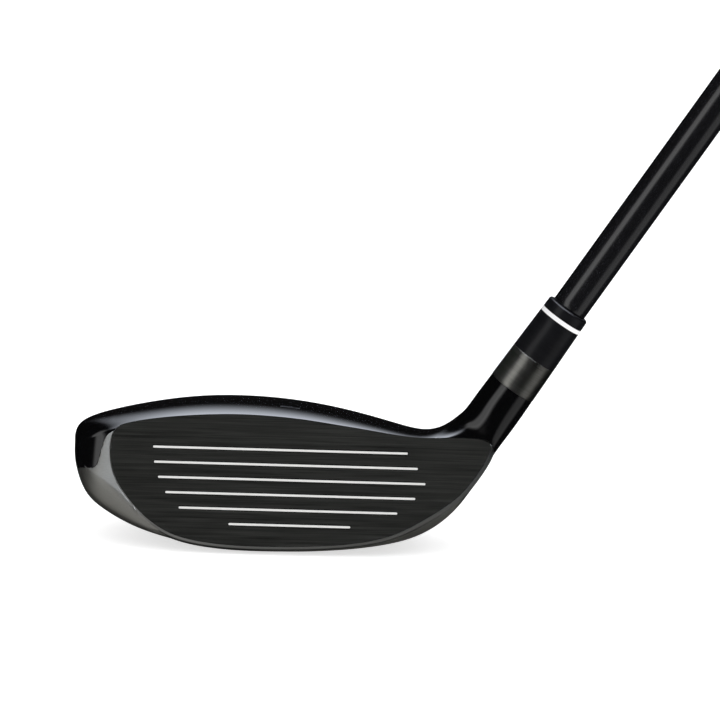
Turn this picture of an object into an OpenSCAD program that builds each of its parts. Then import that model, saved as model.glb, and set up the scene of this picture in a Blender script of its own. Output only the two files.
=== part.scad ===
// Hybrid golf club, right-handed, standing at address.
// +X points from the toe to the heel, -Y is the side that the face looks to, and +Z is up.
// The origin is the point of the sole that rests on the ground, behind the middle of the face. Millimetres.

/* [Club] */
// Club length along the shaft, from the ground to the end of the grip
club_length = 1022; // [990:1:1050]
// Lie: angle between the shaft and the ground
lie = 56.5; // [56:0.1:57.5]
// Loft: how far the face leans back
loft = 20; // [19:0.5:21]
// Distance from the sole's resting point forward to the foot of the face's plane
face_foot = 14; // [13.5:0.1:14.5]
// Distance from the sole's resting point back to the shaft's axis
axis_y = 3; // [2.8:0.1:3.5]
// Where the shaft's axis would meet the ground, measured from the middle of the face
axis_x = 28.8; // [28.5:0.1:29.2]

/* [Head shell] */
// Wall of the cast head
wall = 2.4; // [2.2:0.1:2.6]
// Thickness of the crown shell
crown_thick = 0.8; // [0.7:0.1:1]
// Thickness of the face plate
face_thick = 1.8; // [1.6:0.1:1.9]
// Width of the ledge that the face plate is welded to
face_ledge = 3; // [2.5:0.5:4]

/* [Score lines] */
// Distance between two score lines, along the face
score_pitch = 4.05; // [3.9:0.05:4.2]
// Height of the lowest score line, along the face
score_first = 8.15; // [7.8:0.05:8.5]
// Width of a groove
score_width = 0.8; // [0.6:0.05:0.9]
// Depth of a groove
score_depth = 0.45; // [0.3:0.05:0.5]

/* [Hosel and ferrule] */
// Height along the shaft where the painted neck ends and the bare band starts
neck_end = 53; // [52:0.5:54]
// Length of the bare band at the top of the hosel
band_length = 9.9; // [8:0.1:12]
// Radius of the neck
neck_r = 6.75; // [6.6:0.05:6.8]
// Radius at the foot of the bare band
band_foot_r = 6.6; // [6.5:0.05:6.7]
// Radius at the top of the bare band
band_top_r = 6.4; // [6.3:0.05:6.5]
// Length of the ferrule's long lower piece
ferrule_length = 11.9; // [10:0.1:14]
// Width of the white ring
ring_width = 1.15; // [0.9:0.05:1.5]
// Length of the short collar above the ring
collar_length = 3; // [2.5:0.1:4]
// Radius at the top of the ferrule
ferrule_top_r = 6; // [5.9:0.05:6.1]

/* [Shaft] */
// Radius of the bare tip, which is glued in the hosel
tip_r = 4.7; // [4.65:0.01:4.75]
// Radius of the painted shaft where it leaves the ferrule
shaft_foot_r = 4.85; // [4.8:0.05:4.9]
// Radius of the butt end
butt_r = 7.6; // [7.4:0.1:7.8]
// Wall of the shaft at the tip
tip_wall = 2.1; // [1.8:0.1:2.3]
// Wall of the shaft at the butt
butt_wall = 1; // [0.8:0.1:1.3]
// Glue gap between the tip and the hosel's bore
bond_gap = 0.15; // [0.1:0.01:0.2]
// Height along the shaft of the bottom of the hosel's bore
bore_floor = 26; // [25:0.5:28]

/* [Grip] */
// Length of the rubber sleeve with its cap
grip_length = 267; // [255:1:275]
// Thickness of the tape under the grip
tape_thick = 0.3; // [0.2:0.05:0.5]
// Radius of the sleeve's lower end
grip_mouth_r = 8.9; // [8.7:0.1:9.2]
// Radius of the end of the grip
cap_r = 15.4; // [15:0.1:16]
// Thickness of the cap
cap_thick = 4; // [3.5:0.1:5]
// Radius of the vent hole in the cap
vent_r = 1.5; // [1.2:0.1:1.8]

/* [Sole weight] */
// Place of the weight port on the sole, toe to heel
port_x = -4; // [-6:1:0]
// Place of the weight port on the sole, front to back
port_y = 28; // [27:0.5:29]
// Height of the sole's skin at the port
port_z = 1.9; // [1.5:0.1:2.2]
// Backward lean of the port
port_lean = 10; // [8:1:12]
// Radius of the weight's head
weight_r = 7; // [6.5:0.1:7.2]
// Thickness of the weight's head
weight_thick = 3.8; // [3.5:0.1:4]
// Radius of the weight's threaded shank
shank_r = 3; // [2.8:0.1:3.2]
// Length of the shank
shank_length = 5.5; // [5:0.5:6]
// Thickness of the washer under the weight's head
washer_thick = 0.5; // [0.4:0.1:0.8]

/* [Hidden] */
$fn = 64;

// The head is lofted through stations that run from the toe, along the face and up into the neck.
// A station is a flat slice through the head. Its crown end and sole end are [x, z] points.
neck_ring_1 = 46;
crown_line = [
    [-59.1, 27.5], [-58.2, 30.1], [-55.2, 32], [-49.5, 33.6], [-39, 35.6], [-23, 37.4],
    [-4, 37.1], [13, 34.9], [26, 32.4], [34, 31.3], [39.6, 32.7], [43.8, 35.9], [46, 38.3],
    neck_side(neck_ring_1, neck_r), neck_side(neck_end, band_foot_r),
];
sole_line = [
    [-59.1, 25.5], [-58.7, 20.4], [-56.1, 13.7], [-50.7, 8.8], [-40, 4], [-24, 1.2],
    [-4, 0], [14, 0.9], [27.7, 2.7], [37.2, 6.2], [45.3, 13.4], [52, 23.4], [56.2, 29.4],
    neck_side(neck_ring_1, -neck_r), neck_side(neck_end, -band_foot_r),
];
// Y of the crown's top, of the lowest point of the sole and of the back edge, at each station
top_y = [5, 5.5, 6.5, 7.5, 9, 10, 10, 9, 6.5, 4.5, 3.7, 3.2, axis_y, axis_y, axis_y];
low_y = [4.9, 4, 2, 0.5, 0, 0, 0, 0, 0, 0.5, 1.5, 2.3, axis_y, axis_y, axis_y];
back_y = [
    5.6, 12.5, 21, 29.5, 38, 44.5, 46, 42, 33.5, 24.5, 17, 12.3, 10.2,
    axis_y + neck_r, axis_y + band_foot_r,
];
// Height of the back edge and of the face's lower and upper edge, as a share of the station's height
back_h = [0.5, 0.48, 0.45, 0.42, 0.4, 0.38, 0.38, 0.38, 0.4, 0.43, 0.46, 0.48, 0.5, 0.5, 0.5];
face_lo = [0.45, 0.42, 0.39, 0.35, 0.17, 0.04, 0.05, 0.05, 0.1, 0.17, 0.155, 0.15, 0.42, 0.5, 0.5];
face_hi = [0.55, 0.62, 0.76, 0.85, 0.905, 0.92, 0.93, 0.935, 0.95, 0.96, 0.895, 0.615, 0.46, 0.5, 0.5];
// How far the front lies behind the face's plane, and how far it has turned into the round neck
front_set = [9.1, 6, 2.9, 0.4, 0, 0, 0, 0, 0, 0, 0, 0, 0, 0, 0];
neck_mix = [0, 0, 0, 0, 0, 0, 0, 0, 0, 0, 0, 0.1, 0.8, 1, 1];

// Slices between two stations, and points on each stretch of a slice's outline
steps = 3;
n_lead = 4;
n_face = 5;
n_top = 6;
n_crown = 10;
n_sole = 9;
k_lo = n_lead;
k_hi = k_lo + n_face;
k_top = k_hi + n_top;
k_back = k_top + n_crown;
n_ring = k_back + n_sole;
last_slice = steps * (len(crown_line) - 1);

// The crown shell's limits: slices from the toe to the throat, and the step down at the toe
crown_first = 1;
crown_last = 31;
toe_step_last = 8;

// Outline of the face plate, [toe to heel, distance up the face]
face_points = [
    [-48.9, 28], [-47.6, 33], [-42, 35.2], [-30, 36.9], [-15, 37.7], [0, 37], [15, 35.1],
    [32, 32.9], [46, 33], [51.6, 32.3], [52.8, 29.6], [50, 24], [44.5, 17], [36, 10.8],
    [26, 5.7], [14, 3.2], [-2, 2.2], [-18, 2.4], [-30, 4.3], [-38, 8.5], [-44.5, 15.2],
    [-48, 21.5],
];
score_ends = [[-16.4, 15.4], [-29.8, 27.8], [-33.5, 32.5], [-35.6, 35.1], [-36.8, 33], [-37.2, 30.2]];
fill_depth = 0.3;

port_depth = 0.5 + weight_thick + washer_thick;
port_r = weight_r + 0.3;
thread_gap = 0.06;
band_top = neck_end + band_length;
ferrule_top = band_top + ferrule_length;
ring_top = ferrule_top + ring_width;
collar_top = ring_top + collar_length;
grip_mouth = club_length - grip_length;
shaft_end = club_length - cap_thick;
bore_r = tip_r + bond_gap;

// ---- Curves and surfaces ----

// A point beside the hosel's axis, in the plane of the shaft: r is positive on the crown's side
function neck_side(h, r) = [
    axis_x + h * cos(lie) - r * sin(lie),
    h * sin(lie) + r * cos(lie),
];

// A smooth curve through the values of p, at t between 0 and len(p) - 1
function spline(p, t) =
    let (i = min(floor(t), len(p) - 2), f = t - i)
    let (a = p[max(i - 1, 0)], b = p[i], c = p[i + 1], d = p[min(i + 2, len(p) - 1)])
    0.5 * (2 * b + (c - a) * f + (2 * a - 5 * b + 4 * c - d) * f * f
        + (3 * b - a - 3 * c + d) * f * f * f);

// The same for a closed loop of points
function loop_spline(p, t) =
    let (n = len(p), i = floor(t), f = t - i)
    let (a = p[(i + n - 1) % n], b = p[i % n], c = p[(i + 1) % n], d = p[(i + 2) % n])
    0.5 * (2 * b + (c - a) * f + (2 * a - 5 * b + 4 * c - d) * f * f
        + (3 * b - a - 3 * c + d) * f * f * f);

// Rounded corner: 0 to 1 along a superellipse of power n
function arc_s(a, n) = pow(max(sin(a), 0), 2 / n);
function arc_c(a, n) = pow(max(cos(a), 0), 2 / n);

// How much a half size shrinks for a wall of thickness e
function shrink(half, e) = half > 2 * e ? 1 - e / half : half / (4 * e);

function face_y(z) = z * tan(loft) - face_foot;

// Point k of the slice at t, with the skin moved inwards by e
function skin_point(t, k, e) =
    let (top = spline(crown_line, t), low = spline(sole_line, t))
    let (m = spline(neck_mix, t), set = spline(front_set, t))
    let (ty = spline(top_y, t), ly = spline(low_y, t), by = spline(back_y, t))
    let (lo = spline(face_lo, t), hi = spline(face_hi, t), bh = spline(back_h, t))
    let (rise = top[1] - low[1], lo_z = low[1] + lo * rise, hi_z = low[1] + hi * rise)
    let (fy_lo = (1 - m) * (face_y(lo_z) + set) + m * (axis_y - neck_r))
    let (fy_hi = (1 - m) * (face_y(hi_z) + set) + m * (axis_y - neck_r))
    let (n1 = 3 - m, n3 = 2.1 - 0.1 * m, n4 = 2.6 - 0.6 * m)
    let (yw = k <= k_lo ? let (a = 90 * k / n_lead)
            [ly - (ly - fy_lo) * arc_s(a, n1), lo * (1 - arc_c(a, n1))]
        : k <= k_hi ? let (f = (k - k_lo) / n_face)
            [fy_lo + (fy_hi - fy_lo) * f, lo + (hi - lo) * f]
        : k <= k_top ? let (a = 90 * (k - k_hi) / n_top)
            [ty - (ty - fy_hi) * arc_c(a, 2), hi + (1 - hi) * arc_s(a, 2)]
        : k <= k_back ? let (a = 90 * (k - k_top) / n_crown)
            [ty + (by - ty) * arc_s(a, n3), bh + (1 - bh) * arc_c(a, n3)]
        : let (a = 90 * (k - k_back) / n_sole)
            [ly + (by - ly) * arc_c(a, n4), bh * (1 - arc_s(a, n4))])
    let (mid_y = (fy_lo + by) / 2, half_y = (by - fy_lo) / 2, half_h = norm(top - low) / 2)
    let (y = mid_y + (yw[0] - mid_y) * shrink(half_y, e))
    let (w = 0.5 + (yw[1] - 0.5) * shrink(half_h, e))
    let (p = low + (top - low) * w)
    [p[0] + e * pow(max(-p[0], 0) / 59.1, 4), y, p[1]];

function flat(l) = [for (a = l) for (b = a) b];

// Does a cell of the skin belong to the crown shell, and does a corner lie inside its rim?
function in_crown(i, k) = i >= crown_first && i < crown_last
    && k >= (i < toe_step_last ? k_lo : k_hi) && k < k_back;
function inside_crown(i, k) = in_crown(i, k) && in_crown(i - 1, k)
    && in_crown(i, k - 1) && in_crown(i - 1, k - 1);

// A closed skin through rings of equal length, with both ends capped
module closed_skin(rings) {
    n = len(rings[0]);
    m = len(rings);
    polyhedron(
        points = concat(flat(rings), [middle(rings[0]), middle(rings[m - 1])]),
        faces = concat(
            [for (i = [0:m - 2]) for (j = [0:n - 1]) [i * n + j, i * n + (j + 1) % n, (i + 1) * n + j]],
            [for (i = [0:m - 2]) for (j = [0:n - 1])
                [i * n + (j + 1) % n, (i + 1) * n + (j + 1) % n, (i + 1) * n + j]],
            [for (j = [0:n - 1]) [m * n, (j + 1) % n, j]],
            [for (j = [0:n - 1]) [m * n + 1, (m - 1) * n + j, (m - 1) * n + (j + 1) % n]]
        )
    );
}

// A solid sheet between two grids of points of the same size
module sheet(outer, inner) {
    m = len(outer);
    n = len(outer[0]);
    s = m * n;
    polyhedron(
        points = concat(flat(outer), flat(inner)),
        faces = concat(
            [for (i = [0:m - 2]) for (j = [0:n - 2]) each [
                [i * n + j, i * n + j + 1, (i + 1) * n + j],
                [i * n + j + 1, (i + 1) * n + j + 1, (i + 1) * n + j],
                [s + i * n + j, s + (i + 1) * n + j, s + i * n + j + 1],
                [s + i * n + j + 1, s + (i + 1) * n + j, s + (i + 1) * n + j + 1],
            ]],
            [for (i = [0:m - 2]) each [
                [i * n, (i + 1) * n, s + i * n],
                [(i + 1) * n, s + (i + 1) * n, s + i * n],
                [(i + 1) * n + n - 1, i * n + n - 1, s + i * n + n - 1],
                [s + (i + 1) * n + n - 1, (i + 1) * n + n - 1, s + i * n + n - 1],
            ]],
            [for (j = [0:n - 2]) each [
                [j + 1, j, s + j],
                [s + j + 1, j + 1, s + j],
                [(m - 1) * n + j, (m - 1) * n + j + 1, s + (m - 1) * n + j],
                [(m - 1) * n + j + 1, s + (m - 1) * n + j + 1, s + (m - 1) * n + j],
            ]]
        )
    );
}

function middle(ring) = [for (c = [0:2]) mean([for (p = ring) p[c]])];
function mean(v) = v * [for (x = v) 1] / len(v);

// ---- Places ----

// Local Z runs up the shaft's axis from the ground
module on_shaft(h = 0) {
    translate([axis_x, axis_y, 0]) rotate([0, 90 - lie, 0]) translate([0, 0, h]) children();
}

// Local X runs from toe to heel, Y up the face, and Z out of the face
module on_face() {
    translate([0, -face_foot, 0]) rotate([90 - loft, 0, 0]) children();
}

// Local Z runs out of the sole's weight port, and 0 is the sole's skin
module at_port() {
    translate([port_x, port_y, port_z]) rotate([180 + port_lean, 0, 0]) children();
}

// ---- The head ----

module face_outline(inset = 0) {
    n = len(face_points);
    mid = [2, 20];
    per_span = 3;
    outline = [for (j = [0:n * per_span - 1]) loop_spline(face_points, j / per_span)];
    polygon([for (p = outline) p - inset * (p - mid) / norm(p - mid)]);
}

module face_pocket() {
    on_face() translate([0, 0, -face_thick]) linear_extrude(height = face_thick + 5) face_outline();
}

module crown_window() {
    rx = 38;
    ry = 15;
    translate([-8, 17, 24]) linear_extrude(height = 30)
        polygon([for (a = [0:12:348]) [rx * cos(a), ry * sin(a)]]);
}

module head_skin() {
    closed_skin([for (i = [0:last_slice]) [for (k = [0:n_ring - 1])
        skin_point(i / steps, k, inside_crown(i, k) ? crown_thick : 0)]]);
}

module head_cavity() {
    first = 3;
    last = 29;
    closed_skin([for (i = [first:last]) [for (k = [0:n_ring - 1]) skin_point(i / steps, k, wall)]]);
}

module head_body() {
    core_r = 6.2;
    core_start = bore_floor - 2.5;
    boss_r = 9.4;
    boss_depth = 12.5;
    color([0.30, 0.31, 0.31]) difference() {
        union() {
            difference() {
                head_skin();
                head_cavity();
            }
            on_shaft(core_start) cylinder(r = core_r, h = neck_end - core_start - 1);
            at_port() translate([0, 0, -boss_depth]) cylinder(r = boss_r, h = boss_depth - 1);
        }
        crown_window();
        face_pocket();
        on_face() translate([0, 0, -face_thick - 3]) linear_extrude(height = 5) face_outline(face_ledge);
        on_shaft(bore_floor) cylinder(r = bore_r, h = neck_end);
        at_port() translate([0, 0, -port_depth]) cylinder(r = port_r, h = port_depth + 5);
        at_port() translate([0, 0, -port_depth - 6.5]) cylinder(r = shank_r + thread_gap, h = 7);
    }
}

module score_line(i, depth) {
    ends = score_ends[i];
    y = score_first + i * score_pitch;
    r = score_width / 2;
    translate([0, y, -score_depth]) linear_extrude(height = depth) {
        translate([ends[0], -r]) square([ends[1] - ends[0], 2 * r]);
        for (x = ends) translate([x, 0]) circle(r = r);
    }
}

module face_plate() {
    color([0.20, 0.20, 0.20]) difference() {
        on_face() translate([0, 0, -face_thick]) linear_extrude(height = face_thick) face_outline();
        on_face() for (i = [0:len(score_ends) - 1]) score_line(i, score_depth + 1);
        on_shaft(bore_floor) cylinder(r = bore_r, h = neck_end);
    }
}

module score_lines() {
    color([0.92, 0.92, 0.90]) on_face() {
        for (i = [0:len(score_ends) - 1]) score_line(i, fill_depth);
    }
}

module crown() {
    m = crown_last - crown_first + 1;
    n = k_back - k_lo + 1;
    rows = [crown_first:crown_last];
    cols = [k_lo:k_back];
    outer = [for (i = rows) for (k = cols) skin_point(i / steps, k, 0)];
    inner = [for (i = rows) for (k = cols) skin_point(i / steps, k, crown_thick)];
    cells = [for (i = rows) for (k = cols) if (in_crown(i, k)) [i, k]];
    color([0.03, 0.03, 0.04]) difference() {
        polyhedron(
            points = concat(outer, inner),
            faces = [for (c = cells)
                let (a = c, b = c + [0, 1], d = c + [1, 1], e = c + [1, 0])
                for (t = [[a, b, e], [b, d, e]])
                if (inside_crown(t[0][0], t[0][1]) || inside_crown(t[1][0], t[1][1])
                    || inside_crown(t[2][0], t[2][1]))
                each [
                    [for (v = t) crown_id(v, n)],
                    [for (v = [t[0], t[2], t[1]]) crown_id(v, n, m)],
                ]]
        );
        face_pocket();
    }
}

// Number of a crown point. Inner points have m rows of n before them, but the rim has only outer ones.
function crown_id(c, n, m = 0) =
    (c[0] - crown_first) * n + c[1] - k_lo + (inside_crown(c[0], c[1]) ? m * n : 0);

module alignment_mark() {
    raise = 0.06;
    thick = 0.08;
    t = [for (i = [0:4]) 6 + 0.29 * i / 4];
    k = [13.15, 13.3, 13.45];
    color([0.55, 0.56, 0.58]) sheet(
        [for (a = t) [for (b = k) skin_point(a, b, -raise - thick)]],
        [for (a = t) [for (b = k) skin_point(a, b, -raise)]]
    );
}

// A pad that lies on the cavity's floor
module floor_pad(slices, points, thick) {
    sheet(
        [for (i = slices) [for (k = points) skin_point(i / steps, k, wall)]],
        [for (i = slices) [for (k = points) skin_point(i / steps, k, wall + thick)]]
    );
}

module internal_weight() {
    color([0.45, 0.44, 0.42]) floor_pad([14:24], [n_ring - 1, n_ring], 6);
}

module hot_melt() {
    color([0.80, 0.72, 0.50]) floor_pad([7:10], [k_back + 4:k_back + 7], 3);
}

module weight_washer() {
    color([0.05, 0.05, 0.05]) at_port() translate([0, 0, -port_depth]) difference() {
        cylinder(r = weight_r - 0.2, h = washer_thick);
        translate([0, 0, -1]) cylinder(r = shank_r + 0.3, h = washer_thick + 2);
    }
}

// Six-lobed socket for the driver
module socket(depth) {
    lobe_r = 0.62;
    lobe_at = 1.62;
    translate([0, 0, -depth]) {
        cylinder(r = lobe_at, h = depth + 1);
        for (a = [0:60:300]) rotate([0, 0, a]) translate([lobe_at, 0, 0]) cylinder(r = lobe_r, h = depth + 1);
    }
}

module weight_screw() {
    head_low = washer_thick - port_depth;
    edge = 0.5;
    color([0.50, 0.51, 0.52]) at_port() difference() {
        union() {
            translate([0, 0, head_low]) cylinder(r = weight_r, h = weight_thick - edge);
            translate([0, 0, head_low + weight_thick - edge])
                cylinder(r1 = weight_r, r2 = weight_r - edge, h = edge);
            translate([0, 0, head_low - shank_length]) cylinder(r = shank_r, h = shank_length + 0.5);
        }
        translate([0, 0, head_low + weight_thick]) socket(2.6);
    }
}

// ---- Hosel and ferrule ----

module hosel_band() {
    color([0.33, 0.34, 0.34]) on_shaft(neck_end) difference() {
        cylinder(r1 = band_foot_r, r2 = band_top_r, h = band_length);
        translate([0, 0, -1]) cylinder(r = bore_r, h = band_length + 2);
    }
}

module shaft_bond() {
    color([0.75, 0.70, 0.45]) on_shaft(bore_floor) difference() {
        cylinder(r = bore_r, h = band_top - bore_floor);
        translate([0, 0, -1]) cylinder(r = tip_r, h = band_top - bore_floor + 2);
    }
}

function ferrule_r(h) =
    band_top_r + (ferrule_top_r - band_top_r) * (h - band_top) / (collar_top - band_top);

// One length of the ferrule, between two heights along the shaft
module ferrule_piece(low, high, edge = 0) {
    on_shaft() rotate_extrude() polygon([
        [tip_r, low], [ferrule_r(low), low], [ferrule_r(high - edge), high - edge],
        if (edge > 0) [ferrule_r(high) - 0.3 * edge, high - 0.3 * edge],
        [ferrule_r(high) - edge, high], [tip_r, high],
    ]);
}

module ferrule_body() {
    color([0.05, 0.05, 0.05]) ferrule_piece(band_top, ferrule_top);
}

module ferrule_ring() {
    color([0.93, 0.93, 0.92]) ferrule_piece(ferrule_top, ring_top);
}

module ferrule_collar() {
    color([0.05, 0.05, 0.05]) ferrule_piece(ring_top, collar_top, 0.6);
}

// ---- Shaft and grip ----

parallel_end = 160;
function shaft_r(h) = h <= parallel_end ? shaft_foot_r
    : shaft_foot_r + (butt_r - shaft_foot_r) * (h - parallel_end) / (shaft_end - parallel_end);

module shaft() {
    color([0.04, 0.04, 0.05]) on_shaft() rotate_extrude() polygon([
        [tip_r - tip_wall, bore_floor], [tip_r, bore_floor], [tip_r, collar_top],
        [shaft_foot_r, collar_top], [shaft_foot_r, parallel_end], [butt_r, shaft_end],
        [butt_r - butt_wall, shaft_end],
    ]);
}

module tip_weight() {
    color([0.75, 0.60, 0.30]) on_shaft(bore_floor) cylinder(r = tip_r - tip_wall, h = 18);
}

module tip_plug() {
    color([0.60, 0.45, 0.30]) on_shaft(bore_floor + 18) cylinder(r = tip_r - tip_wall, h = 6);
}

module grip_tape() {
    r0 = shaft_r(grip_mouth);
    color([0.80, 0.75, 0.60]) on_shaft() rotate_extrude() polygon([
        [r0, grip_mouth], [r0 + tape_thick, grip_mouth], [butt_r + tape_thick, shaft_end],
        [butt_r, shaft_end],
    ]);
}

module grip() {
    r0 = shaft_r(grip_mouth) + tape_thick;
    color([0.06, 0.06, 0.06]) on_shaft() rotate_extrude() polygon([
        [r0, grip_mouth], [grip_mouth_r - 0.5, grip_mouth], [grip_mouth_r, grip_mouth + 0.8],
        [11.7, shaft_end - 55], [12.5, shaft_end - 25], [13.5, shaft_end - 12],
        [cap_r - 0.7, shaft_end - 4], [cap_r, shaft_end], [butt_r + tape_thick, shaft_end],
    ]);
}

module grip_cap() {
    color([0.08, 0.08, 0.08]) on_shaft(shaft_end) rotate_extrude() polygon([
        [vent_r, 0], [cap_r, 0], [cap_r, 0.3 * cap_thick], [cap_r - 0.8, 0.65 * cap_thick],
        [cap_r - 3, 0.85 * cap_thick], [cap_r - 7, 0.96 * cap_thick], [vent_r + 1.5, cap_thick],
        [vent_r, cap_thick],
    ]);
}

head_body();
face_plate();
crown();
hosel_band();
score_lines();
alignment_mark();
internal_weight();
hot_melt();
weight_washer();
weight_screw();
shaft_bond();
tip_weight();
tip_plug();
ferrule_body();
ferrule_ring();
ferrule_collar();
shaft();
grip_tape();
grip();
grip_cap();
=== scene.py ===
import math
from math import cos, sin, tan, radians, pi

import bpy
import numpy as np
from mathutils import Matrix, Vector
from mathutils.bvhtree import BVHTree
from mathutils.geometry import delaunay_2d_cdt


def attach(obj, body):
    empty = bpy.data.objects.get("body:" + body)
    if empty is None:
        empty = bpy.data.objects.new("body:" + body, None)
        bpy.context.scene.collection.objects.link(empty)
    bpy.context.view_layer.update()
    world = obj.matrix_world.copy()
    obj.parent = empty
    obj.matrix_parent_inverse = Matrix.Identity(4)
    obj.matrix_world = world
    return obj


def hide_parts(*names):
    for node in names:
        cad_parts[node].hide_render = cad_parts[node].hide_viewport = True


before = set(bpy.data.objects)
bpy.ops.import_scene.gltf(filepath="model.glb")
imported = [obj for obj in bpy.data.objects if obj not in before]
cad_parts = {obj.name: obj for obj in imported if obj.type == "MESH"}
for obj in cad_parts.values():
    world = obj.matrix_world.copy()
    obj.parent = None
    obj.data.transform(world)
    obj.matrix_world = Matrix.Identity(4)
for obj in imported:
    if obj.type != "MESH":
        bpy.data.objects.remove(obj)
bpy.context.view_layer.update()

# Lengths in this script are millimetres until a mesh is made.
MM = 0.001


# ---------------------------------------------------------------- the club's own sizes
LIE = radians(56.5)
LOFT = radians(20)
FACE_FOOT = 14.0
AXIS_X, AXIS_Y = 28.8, 3.0
NECK_R, NECK_END = 6.75, 53.0
BAND_FOOT_R, BAND_TOP_R, BAND_TOP = 6.6, 6.4, 62.9
FERRULE_TOP, RING_TOP, COLLAR_TOP, FERRULE_TOP_R = 74.8, 75.95, 78.95, 6.0
BORE_FLOOR, BORE_R, TIP_R, TIP_WALL = 26.0, 4.85, 4.7, 2.1
SHAFT_FOOT_R, PARALLEL_END, SHAFT_END, BUTT_R, BUTT_WALL = 4.85, 160.0, 1018.0, 7.6, 1.0
GRIP_MOUTH, CAP_R, VENT_R, TAPE = 755.0, 15.4, 1.5, 0.3
PORT_DEPTH, PORT_R, WEIGHT_R, WEIGHT_THICK = 4.8, 7.3, 7.0, 3.8
SHANK_R, SHANK_LENGTH, WASHER, THREAD_PITCH = 3.0, 5.5, 0.5, 1.0
SCORE_FIRST, SCORE_PITCH, SCORE_R, SCORE_DEPTH = 8.15, 4.05, 0.4, 0.45
SCORE_ENDS = [[-16.4, 15.4], [-29.8, 27.8], [-33.5, 32.5], [-35.6, 35.1], [-36.8, 33], [-37.2, 30.2]]
FACE_POINTS = np.array([
    [-48.9, 28], [-47.6, 33], [-42, 35.2], [-30, 36.9], [-15, 37.7], [0, 37], [15, 35.1],
    [32, 32.9], [46, 33], [51.6, 32.3], [52.8, 29.6], [50, 24], [44.5, 17], [36, 10.8],
    [26, 5.7], [14, 3.2], [-2, 2.2], [-18, 2.4], [-30, 4.3], [-38, 8.5], [-44.5, 15.2],
    [-48, 21.5]])


def neck_side(h, r):
    """A point beside the hosel's axis, h up the shaft and r to the crown's side."""
    return [AXIS_X + h * cos(LIE) - r * sin(LIE), h * sin(LIE) + r * cos(LIE)]


def placed(origin, x_axis, y_axis):
    """Matrix of a local frame, from millimetres to the row's metres."""
    x, y = Vector(x_axis).normalized(), Vector(y_axis).normalized()
    m = Matrix((x, y, x.cross(y))).transposed().to_4x4()
    m.translation = Vector(origin) * MM
    return m


ROW = Matrix.Identity(4)
ON_SHAFT = placed((AXIS_X, AXIS_Y, 0), (sin(LIE), 0, -cos(LIE)), (0, 1, 0))
ON_FACE = placed((0, -FACE_FOOT, 0), (1, 0, 0), (0, sin(LOFT), cos(LOFT)))
PORT_LEAN = radians(190)
AT_PORT = placed((-4, 28, 1.9), (1, 0, 0), (0, cos(PORT_LEAN), sin(PORT_LEAN)))


# ---------------------------------------------------------------- curves
def smooth_curve(values):
    """Natural cubic spline through values at 0, 1, 2, ..."""
    y = np.array(values, float)
    flat = y.ndim == 1
    y = y[:, None] if flat else y
    n = len(y)
    a, b = np.eye(n), np.zeros_like(y)
    for i in range(1, n - 1):
        a[i, i - 1:i + 2] = 1, 4, 1
        b[i] = 6 * (y[i + 1] - 2 * y[i] + y[i - 1])
    m = np.linalg.solve(a, b)

    def at(t):
        i = np.clip(np.floor(t).astype(int), 0, n - 2)
        f = (t - i)[..., None]
        g = 1 - f
        v = g * y[i] + f * y[i + 1] + ((g ** 3 - g) * m[i] + (f ** 3 - f) * m[i + 1]) / 6
        return v[..., 0] if flat else v
    return at


def blur(v, n):
    """A running average that keeps both ends."""
    for _ in range(n):
        v = np.concatenate([v[:1], (v[:-2] + 2 * v[1:-1] + v[2:]) / 4, v[-1:]])
    return v


def steady_curve(values):
    """Like smooth_curve, but it never swings past the values."""
    y = np.array(values, float)
    d = np.diff(y)
    slope = np.zeros(len(y))
    same = d[:-1] * d[1:] > 0
    slope[1:-1][same] = 2 * d[:-1][same] * d[1:][same] / (d[:-1][same] + d[1:][same])

    fine = np.linspace(0, len(y) - 1, 100 * (len(y) - 1) + 1)
    i = np.clip(np.floor(fine).astype(int), 0, len(y) - 2)
    f = fine - i
    table = (y[i] * (1 + 2 * f) * (1 - f) ** 2 + slope[i] * f * (1 - f) ** 2
             + y[i + 1] * f * f * (3 - 2 * f) + slope[i + 1] * f * f * (f - 1))
    table = blur(table, 1200)
    return lambda t: np.interp(t, fine, table)


def closed_loop(p, per_span):
    """Points on a smooth closed curve through p."""
    n = len(p)
    t = np.arange(n * per_span) / per_span
    i = np.floor(t).astype(int)
    f = (t - i)[:, None]
    a, b, c, d = p[(i - 1) % n], p[i % n], p[(i + 1) % n], p[(i + 2) % n]
    return 0.5 * (2 * b + (c - a) * f + (2 * a - 5 * b + 4 * c - d) * f * f
                  + (3 * b - a - 3 * c + d) * f ** 3)


def step(x):
    """0 to 1 smoothly."""
    x = np.clip(x, 0, 1)
    return x * x * (3 - 2 * x)


# ---------------------------------------------------------------- the head's skin
LAST = 14
TOE_X = -59.1
CROWN_LINE = smooth_curve([
    [TOE_X, 27.5], [-58.2, 30.1], [-55.2, 32], [-49.5, 33.6], [-39, 35.6], [-23, 37.4],
    [-4, 37.1], [13, 34.9], [26, 32.4], [34, 31.3], [39.6, 32.7], [43.8, 35.9], [46, 38.3],
    neck_side(46, NECK_R), neck_side(NECK_END, BAND_FOOT_R)])
SOLE_LINE = smooth_curve([
    [TOE_X, 25.5], [-58.7, 20.4], [-56.1, 13.7], [-50.7, 8.8], [-40, 4], [-24, 1.2],
    [-4, 0], [14, 0.9], [27.7, 2.7], [37.2, 6.2], [45.3, 13.4], [52, 23.4], [56.2, 29.4],
    neck_side(46, -NECK_R), neck_side(NECK_END, -BAND_FOOT_R)])
TOP_Y = smooth_curve([5, 5.5, 6.5, 7.5, 9, 10, 10, 9, 6.5, 4.5, 3.7, 3.2, 3, 3, 3])
LOW_Y = smooth_curve([4.9, 4, 2, 0.5, 0, 0, 0, 0, 0, 0.5, 1.5, 2.3, 3, 3, 3])
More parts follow.
